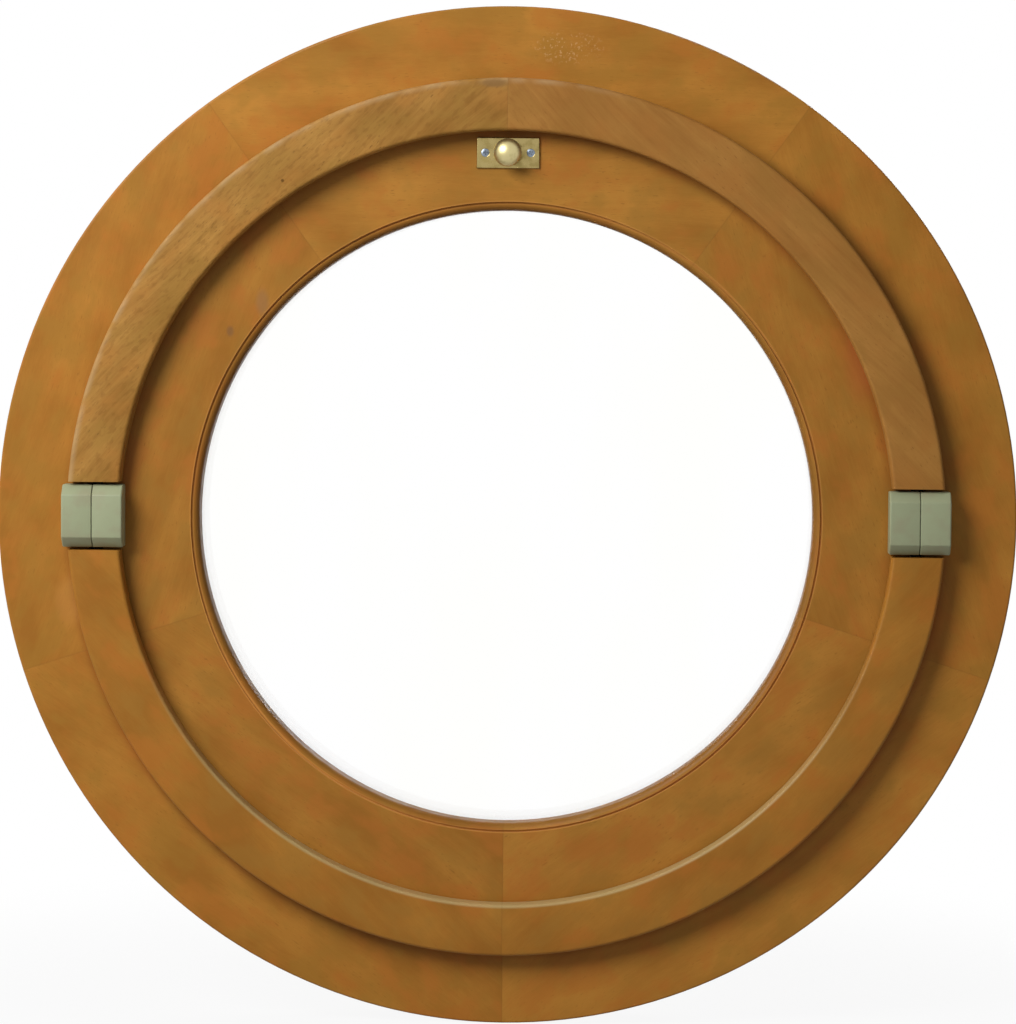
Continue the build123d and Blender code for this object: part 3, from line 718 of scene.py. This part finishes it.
def rounded_corner(corner, before, after, reach):
    """Points of a rounding that starts and ends a reach before and after a corner."""
    corner = Vector(corner)
    low = corner + (Vector(before) - corner).normalized() * reach
    high = corner + (Vector(after) - corner).normalized() * reach
    middle = low + high - corner
    points = []
    for step in range(corner_steps + 1):
        turn = math.pi / 2 * step / corner_steps
        points.append(middle + (low - middle) * math.cos(turn) + (high - middle) * math.sin(turn))
    return points


def moulding(node, section, middle, begin, end, cut):
    """The bent moulding of one solid, from a section of (radius, y) points in millimetres."""
    name = "moulded_" + node
    mesh = bpy.data.meshes.new(name + "_section")
    edges = [(index, (index + 1) % len(section)) for index in range(len(section))]
    mesh.from_pydata([(point[0] / 1000, point[1] / 1000, 0) for point in section], edges, [])
    values = {
        "Middle": middle, "From": begin, "To": end, "Cut height": cut,
        "Steps": round(steps_per_quarter * (end - begin)) + 1,
        "Finish": finishes[slot_of[node]],
    }
    stands_for(trued(shaped(name, mesh, bend, values)), node)


# %% [markdown]
# ## Stops and their seals
# A stop covers the gap between the rings: one half of its width is fixed, the other half laps over
# the neighbour and stands off it by the relief, with a rubber seal let into it. In the room the
# upper stops sit on the sash, outside they sit on the frame, and the lower ones change over. The
# section is drawn once, for a stop in the room whose outer half laps, and turned over for the
# others. The front corners are well rounded by years of wiping, and the lamp draws a thin line of
# light along them. Sizes are in millimetres, across from the middle of the gap and deep from the
# middle of the timber.

# %% Sections of stop and seal
gap_middle = 283.0
stop_half = 17.75
seat = 29.0
stop_face = 45.0
relief = 1.5
seal_offset = 10.0
groove_half = 2.0
groove_floor = 34.0
stop_rounding = 2.5
seal_half = 1.9
seal_tip = 29.3
seal_rounding = 1.2


def stop_section(side, lap):
    """A stop's section. side is -1 in the room and 1 outside.

    lap is 1 where the outer half laps over the neighbour and -1 where the inner half does.
    """
    low, high = -stop_half, stop_half
    near = seat + relief
    outline = [
        (low, seat), (0, seat), (0, near),
        (seal_offset - groove_half, near), (seal_offset - groove_half, groove_floor),
        (seal_offset + groove_half, groove_floor), (seal_offset + groove_half, near), (high, near),
    ]
    outline += rounded_corner((high, stop_face), (high, seat), (low, stop_face), stop_rounding)
    outline += rounded_corner((low, stop_face), (high, stop_face), (low, seat), stop_rounding)
    return [(gap_middle + lap * across, side * deep) for across, deep in outline]


def seal_section(side, lap):
    """A strip with a rounded tip."""
    low, high = seal_offset - seal_half, seal_offset + seal_half
    outline = [(low, groove_floor), (high, groove_floor)]
    outline += rounded_corner(
        (high, seal_tip), (high, groove_floor), (low, seal_tip), seal_rounding
    )
    outline += rounded_corner((low, seal_tip), (high, seal_tip), (low, groove_floor), seal_rounding)
    return [(gap_middle + lap * across, side * deep) for across, deep in outline]


print("stop section, points:", len(stop_section(-1, 1)), "seal section:", len(seal_section(-1, 1)))

# %% Bend the stops and seals
for place, side in (("inside", -1), ("outside", 1)):
    for half, middle in (("upper", 0.0), ("lower", math.pi)):
        lap = -side if half == "upper" else side
        low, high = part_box(f"stop_{place}_{half}_right")
        cut = low.z if half == "upper" else -high.z
        right_first = 1 if half == "upper" else -1
        for hand, way in (("right", right_first), ("left", -right_first)):
            node = f"stop_{place}_{half}_{hand}"
            begin, end = (0.0, 1.0) if way > 0 else (-1.0, 0.0)
            moulding(node, stop_section(side, lap), middle, begin, end, cut)
        node = f"seal_{place}_{half}"
        low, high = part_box(node)
        cut = low.z if half == "upper" else -high.z
        moulding(node, seal_section(side, lap), middle, -1.0, 1.0, cut)
print("stops and seals:", sum(1 for name in bpy.data.objects.keys() if name.startswith("moulded_")))

# %% [markdown]
# ## Glazing beads
# On the outside the glass is held by four beads in a rebate. A bead slopes down to the glass, so
# that rain runs off, and its edge on the sight line is rounded. They run from one joint to the
# next, each a full quarter, so the cut height is zero.

# %% Beads
bead_back, bead_sight, bead_crest = 224.8, 215.0, 219.0
glass_side, outer_side = 13.0, 29.0
bead_rounding = 2.0
bead_points = [(bead_back, glass_side), (bead_sight, glass_side)]
bead_points += rounded_corner(
    (bead_crest, outer_side), (bead_sight, glass_side), (bead_back, outer_side), bead_rounding
)
bead_points += [(bead_back, outer_side)]
for number in range(4):
    middle = math.pi if number in (1, 2) else 0.0
    begin, end = (-1.0, 0.0) if number % 2 else (0.0, 1.0)
    node = f"glazing_bead_{number + 1}"
    moulding(node, bead_points, middle, begin, end, 0.0)

# %% [markdown]
# ## Pads in the gap
# Beside each pivot the ring gap would let daylight through between the cover and the stop. A soft
# black pad is glued to the frame there. Its free face is flat, and that matters: the sash turns
# about a line through the pivots, so it never reaches further out than its own half width, and a
# flat pad just beyond that is never touched. It also starts deep enough in the gap for the turning
# cover.

# %% Gap pads
pad_flat = 279.5
pad_glued = 287.4
pad_half_height = 30.0
pad_front, pad_back = -13.0, 17.0
pad_rounding = 0.8
pad_steps = 12


def prism(name, rows):
    """A closed mesh between two rows of (x, y, z) points in millimetres, to be trued later."""
    shell = bmesh.new()
    first, second = [[shell.verts.new(Vector(point) / 1000) for point in row] for row in rows]
    shell.faces.new(first)
    shell.faces.new(second)
    for index in range(len(first)):
        after = (index + 1) % len(first)
        shell.faces.new([first[index], first[after], second[after], second[index]])
    mesh = bpy.data.meshes.new(name)
    shell.to_mesh(mesh)
    shell.free()
    return mesh


def gap_pad(name, side):
    """A pad on the frame's inner edge; side is 1 at the right and -1 at the left."""
    outline = [(pad_flat, pad_half_height), (pad_flat, -pad_half_height)]
    for step in range(pad_steps + 1):
        height = pad_half_height * (2 * step / pad_steps - 1)
        outline.append((math.sqrt(pad_glued**2 - height**2), height))
    mesh = prism(name, [[(side * x, y, z) for x, z in outline] for y in (pad_front, pad_back)])
    mesh.materials.append(finishes["seal_rubber"])
    pad = in_scene(name, mesh)
    rounding = pad.modifiers.new("rounding", "BEVEL")
    rounding.width = pad_rounding / 1000
    rounding.segments = 3
    pad = trued(frozen(name, pad))
    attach(pad, "frame")


for hand, side in (("right", 1), ("left", -1)):
    gap_pad("gap_pad_" + hand, side)
    print("gap pad, high in mm:", 2 * pad_half_height, "deep in mm:", pad_back - pad_front)

# %% [markdown]
# ## Knob
# The brass knob was turned on a lathe, so it is drawn the same way: an outline of radius and
# height, carried round in small steps. The flared head runs out to a rim and closes in a smooth
# polished dome, which shows the lamp as one bright spot. A bore takes the spindle, which stays a
# solid.

# %% Lathe
def lathe(name, outline, centre, steps):
    """(radius, y) points in millimetres, turned about a line along Y through a centre in metres."""
    shell = bmesh.new()
    rings = []
    for across, along in outline:
        ring = []
        for step in range(steps if across > 0 else 1):
            turn = 2 * math.pi * step / steps
            offset = Vector((across * math.cos(turn), along, across * math.sin(turn))) / 1000
            ring.append(shell.verts.new(offset + Vector(centre)))
        rings.append(ring)
    for first, second in zip(rings, rings[1:]):
        for step in range(steps):
            following = (step + 1) % steps
            corners = [first[step % len(first)], first[following % len(first)]]
            corners += [second[following % len(second)], second[step % len(second)]]
            shell.faces.new(list(dict.fromkeys(corners)))
    mesh = bpy.data.meshes.new(name)
    shell.to_mesh(mesh)
    shell.free()
    return mesh


def arc(centre_x, centre_y, reach_x, reach_y, start, stop, steps):
    """Points of an elliptical arc between two angles in degrees."""
    points = []
    for step in range(steps + 1):
        angle = math.radians(start + (stop - start) * step / steps)
        points.append((centre_x + reach_x * math.cos(angle), centre_y + reach_y * math.sin(angle)))
    return points


# %% Knob
knob_low, knob_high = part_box("catch_knob")
knob_top, knob_foot = 1000 * knob_low.y, 1000 * knob_high.y
knob_middle = (0, 0, (knob_low.z + knob_high.z) / 2)
knob_reach = 500 * (knob_high.x - knob_low.x)
shoulder, rim = knob_foot - 6.0, knob_top + 4.0
bore, bore_floor = 3.25, knob_top + 3.1
neck, neck_chamfer = 5.2, 0.3
waist_middle = (5.6, knob_foot - 3.2)
waist_reach = (1.1, 2.6)
edge_round = 2.2
edge_middle = (shoulder + rim) / 2
knob_outline = [(0, bore_floor), (bore, bore_floor), (bore, knob_foot)]
knob_outline += [(neck - neck_chamfer, knob_foot), (neck, knob_foot - neck_chamfer)]
knob_outline += arc(*waist_middle, *waist_reach, 110, 250, 12)
knob_outline += arc(
    knob_reach - edge_round, edge_middle, edge_round, (shoulder - rim) / 2, 80, -40, 16
)
dome_edge_x, dome_edge_y = knob_outline[-1]
dome_height = dome_edge_y - knob_top
dome_radius = (dome_edge_x**2 + dome_height**2) / (2 * dome_height)
dome_steps = 16
for step in range(1, dome_steps + 1):
    across = dome_edge_x * (1 - step / dome_steps)
    fall = dome_radius - math.sqrt(dome_radius**2 - across**2)
    knob_outline.append((across, knob_top + fall))
knob = trued(in_scene("turned_knob", lathe("turned_knob", knob_outline, knob_middle, 96)), 40)
knob.data.materials.append(finishes["knob_brass"])
stands_for(knob, "catch_knob")
print("knob across in mm:", round(2 * knob_reach, 1), "faces:", len(knob.data.polygons))

# %% [markdown]
# ## Softened hardware
# Moulded covers and stamped plates never have knife edges: the mould or the polishing belt leaves a
# small rounding, and that rounding is what catches the light. The solids have the right form but
# sharp edges. So each is copied, its loose triangles are joined into real faces, and a bevel runs
# along every real edge.

# %% Covers, plates and bases
same_face_angle = math.radians(2)
real_edge_angle = math.radians(32)


def softened(node, width):
    """Puts a copy with small roundings on its edges, in metres, in the place of a solid."""
    name = "softened_" + node
    shell = bmesh.new()
    shell.from_mesh(nodes[node].data)
    bmesh.ops.remove_doubles(shell, verts=shell.verts, dist=2e-6)
    bmesh.ops.dissolve_limit(
        shell, angle_limit=same_face_angle, verts=shell.verts, edges=shell.edges
    )
    mesh = bpy.data.meshes.new(name)
    shell.to_mesh(mesh)
    shell.free()
    mesh.materials.clear()
    mesh.materials.append(finishes[slot_of[node]])
    thing = in_scene(name + "_start", mesh)
    rounding = thing.modifiers.new("rounding", "BEVEL")
    rounding.width = width
    rounding.segments = 3
    rounding.limit_method = "ANGLE"
    rounding.angle_limit = real_edge_angle
    stands_for(trued(frozen(name, thing)), node)


roundings = {}
for kind, width in (("cover", 0.0006), ("base", 0.0003)):
    for ring_name in ("sash", "frame"):
        for hand in ("left", "right"):
            roundings[f"pivot_{ring_name}_{kind}_{hand}"] = width
roundings.update({"catch_plate": 0.00035, "strike_plate": 0.0002})
for node, width in roundings.items():
    softened(node, width)
print("softened pieces:", len(roundings))

# %% [markdown]
# ## Screws
# Every screw is the same thing at two sizes: a countersunk head, a thread and a cross recess. A
# blank and the bit that cuts its recess are drawn once. A tree cuts the one with the other, puts a
# copy at each place and gives each its own turn, because nobody stops a screwdriver at the same
# angle twice.

# %% Screw tree
drive = Shape("driven_screws", {
    "Blank": "Object", "Bit": "Object", "Lean": "Vector", "Seed": "Int",
})
blank, bit = [
    drive.add("GeometryNodeObjectInfo", {}, {"Object": drive.start.output(label)}, out="Geometry")
    for label in ("Blank", "Bit")
]
cut_blank = drive.add(
    "GeometryNodeMeshBoolean", {"operation": "DIFFERENCE"}, {"Mesh 1": blank, "Mesh 2": bit}
)
spots_of_screws = drive.add("GeometryNodeMeshToPoints", {}, {"Mesh": drive.start})
turn_angle = drive.add(
    "FunctionNodeRandomValue", {"data_type": "FLOAT"},
    {"Min": 0.0, "Max": math.pi / 2, "Seed": drive.start.output("Seed")}, out=1,
)
spin = drive.add("FunctionNodeAxisAngleToRotation", {}, {"Axis": (0, 1, 0), "Angle": turn_angle})
lean = drive.add("FunctionNodeEulerToRotation", {}, {"Euler": drive.start.output("Lean")})
turned = drive.add(
    "FunctionNodeRotateRotation", {"rotation_space": "LOCAL"}, {"Rotation": lean, "Rotate By": spin}
)
screws = drive.add(
    "GeometryNodeInstanceOnPoints", {},
    {"Points": spots_of_screws, "Instance": cut_blank, "Rotation": turned},
)
drive.close(screws)
print("inputs of the screw tree:", list(drive.keys))

# %% Blank and bit
def screw_blank(head, shank, length, pitch):
    """Outline of a screw with its head at 0 and its point towards +Y, in millimetres."""
    crown = head / 3.9
    outline = [(0, -0.25 * crown), (head * 0.5, -0.22 * crown), (head * 0.93, 0.0), (head, 0.12)]
    outline += [(shank, head - shank), (shank, head)]
    root, flank = shank * 0.78, pitch * 0.35
    point = length - 2 * shank
    along = head + pitch
    while along < point - pitch:
        outline += [(root, along - flank), (shank, along), (root, along + flank)]
        along += pitch
    return outline + [(shank * 0.8, point), (0, length)]


def cross_bit(arm, width, depth):
    """A tapered cross that cuts the recess, in millimetres."""
    far, near = arm / 2, width / 2
    cross = [(near, near), (far, near), (far, -near), (near, -near), (near, -far), (-near, -far)]
    cross += [(-x, -z) for x, z in cross]
    above, taper = -1.0, 0.55
    ends = ((above, 1.0), (depth, taper))
    return prism("cross_bit", [[(x * share, y, z * share) for x, z in cross] for y, share in ends])


screw_sizes = {
    "pivot": {"head": 3.9, "shank": 2.0, "length": 30.0, "pitch": 1.8},
    "small": {"head": 2.85, "shank": 1.5, "length": 16.0, "pitch": 1.2},
}
blanks, bits = {}, {}
for size, screw in screw_sizes.items():
    head = screw["head"]
    outline = screw_blank(**screw)
    blanks[size] = trued(in_scene("screw_blank", lathe("screw_blank", outline, (0, 0, 0), 32)))
    bits[size] = trued(in_scene("cross_bit", cross_bit(1.3 * head, 0.3 * head, 0.55 * head)))
print("screw sizes:", list(blanks))

# %% Drive the screws
def driven(node, size, places, lean, seed):
    """Screws of one node at their places, in metres, all leaning one way."""
    mesh = bpy.data.meshes.new(node + "_places")
    mesh.from_pydata(places, [], [])
    values = {
        "Blank": blanks[size], "Bit": bits[size], "Lean": lean, "Seed": seed,
        "Finish": finishes[slot_of[node]],
    }
    stands_for(trued(shaped("driven_" + node, mesh, drive, values)), node)
    print(node, "driven at", len(places), "places")


away, to_frame, to_sash = (0, 0, 0), (math.pi / 2, 0, 0), (-math.pi / 2, 0, 0)
plate_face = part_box("catch_plate")[0].y
catch_screw_reach = 0.0155
catch_screws = [(x, plate_face, knob_middle[2]) for x in (-catch_screw_reach, catch_screw_reach)]
driven("catch_plate_screws", "small", catch_screws, away, 3)
latch_screw_reach = 0.017
for node, face, lean, seed in (
    ("strike_plate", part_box("strike_plate")[0].z, to_frame, 5),
    ("bolt_case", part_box("bolt_case")[1].z, to_sash, 8),
):
    places = [(x, 0, face) for x in (-latch_screw_reach, latch_screw_reach)]
    driven(node + "_screws", "small", places, lean, seed)
base_top, pivot_screw_height = room_face - 0.004, 0.014
for ring_name, seed in (("sash", 13), ("frame", 21)):
    low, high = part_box(f"pivot_{ring_name}_base_right")
    across = (low.x + high.x) / 2
    heights = (-pivot_screw_height, pivot_screw_height)
    places = [(x, base_top, z) for x in (-across, across) for z in heights]
    driven(f"pivot_{ring_name}_screws", "pivot", places, away, seed)
for helper in [*blanks.values(), *bits.values()]:
    bpy.data.objects.remove(helper)

# %% [markdown]
# ## Floor, background and light
# The picture has a plain white background, and the same white shows through the glass. The floor
# and the world turn white only for rays that the camera sends straight, through glass or off a
# gloss, so that no extra light falls on the timber. The floor keeps some of its own shading near
# the window, and with it the shadow, and is white further out, so that no horizon shows.

# %% Floor finish
def seen_directly(bench):
    """1 for rays that the camera sends straight, through glass or off a gloss."""
    path = bench.add("ShaderNodeLightPath", out="Is Camera Ray")
    direct = bench.maths("MAXIMUM", path, path.output("Is Glossy Ray"))
    return bench.maths("MAXIMUM", direct, path.output("Is Transmission Ray"))


floor_finish = Finish("pale_floor")
floor_dark, floor_pale = (0.40, 0.40, 0.40, 1), (0.44, 0.44, 0.44, 1)
floor_shade = floor_finish.mix(floor_finish.spots(300), floor_dark, floor_pale)
floor_diffuse = floor_finish.add("ShaderNodeBsdfDiffuse", {}, {"Color": floor_shade})
floor_white = floor_finish.add("ShaderNodeEmission", {}, {"Color": (1, 1, 1, 1), "Strength": 1.0})
from_middle = floor_finish.vector("LENGTH", floor_finish.place).output("Value")
near_share = 0.92
white_share = near_share + floor_finish.ease(from_middle, 0.42, 0.8) * (1 - near_share)
sockets = {0: seen_directly(floor_finish) * white_share, 1: floor_diffuse, 2: floor_white}
floor_shader = floor_finish.add("ShaderNodeMixShader", {}, sockets)
floor_finish.add("ShaderNodeOutputMaterial", {}, {"Surface": floor_shader})

# %% Floor sheet
floor_level = solid_low.z - 0.0005
half_floor = 1.6
floor_mesh = bpy.data.meshes.new("floor")
floor_corners = [
    (half_floor * right, half_floor * deep, floor_level)
    for right, deep in ((-1, -1), (1, -1), (1, 1), (-1, 1))
]
floor_mesh.from_pydata(floor_corners, [], [(0, 1, 2, 3)])
floor_mesh.materials.append(floor_finish.material)
in_scene("floor", floor_mesh)
print("floor below the window in mm:", round(1000 * (solid_low.z - floor_level), 2))

# %% World
world = bpy.data.worlds.new("studio")
world.use_nodes = True
world.node_tree.nodes.clear()
sky = Bench(world.node_tree)
fill_level = 0.17
strength = seen_directly(sky) * (1.0 - fill_level) + fill_level
light = sky.add("ShaderNodeBackground", {}, {"Color": (1, 1, 1, 1), "Strength": strength})
sky.add("ShaderNodeOutputWorld", {}, {"Surface": light})
bpy.context.scene.world = world
print("share of white light from all sides:", fill_level)

# %% [markdown]
# ## Lamps
# One large soft lamp lights the window. The shadows beside the stops say where it stands: their
# length against the height of a stop gives its direction, high on the left, and their soft rim
# gives its width, more than a metre. It is near enough that the lower right of the window gets less
# light. A second lamp stands on the outside of the window. No ray of it reaches a face towards the
# room.

# %% Lamps
def soft_lamp(name, place, width, power):
    """A round area lamp at a place, turned to the window's middle, in metres and watts."""
    data = bpy.data.lights.new(name, "AREA")
    data.shape = "DISK"
    data.size = width
    data.energy = power
    lamp = in_scene(name, data)
    lamp.location = place
    lamp.rotation_mode = "QUATERNION"
    lamp.rotation_quaternion = (-Vector(place)).to_track_quat("-Z", "Y")
    print(name, "lamp, distance in m:", round(lamp.location.length, 2))


soft_lamp("key", (-1.05, -1.23, 0.98), 1.05, 36)
soft_lamp("outside", (0.9, 1.7, 1.1), 1.2, 34)
bpy.context.scene.view_settings.view_transform = "Standard"
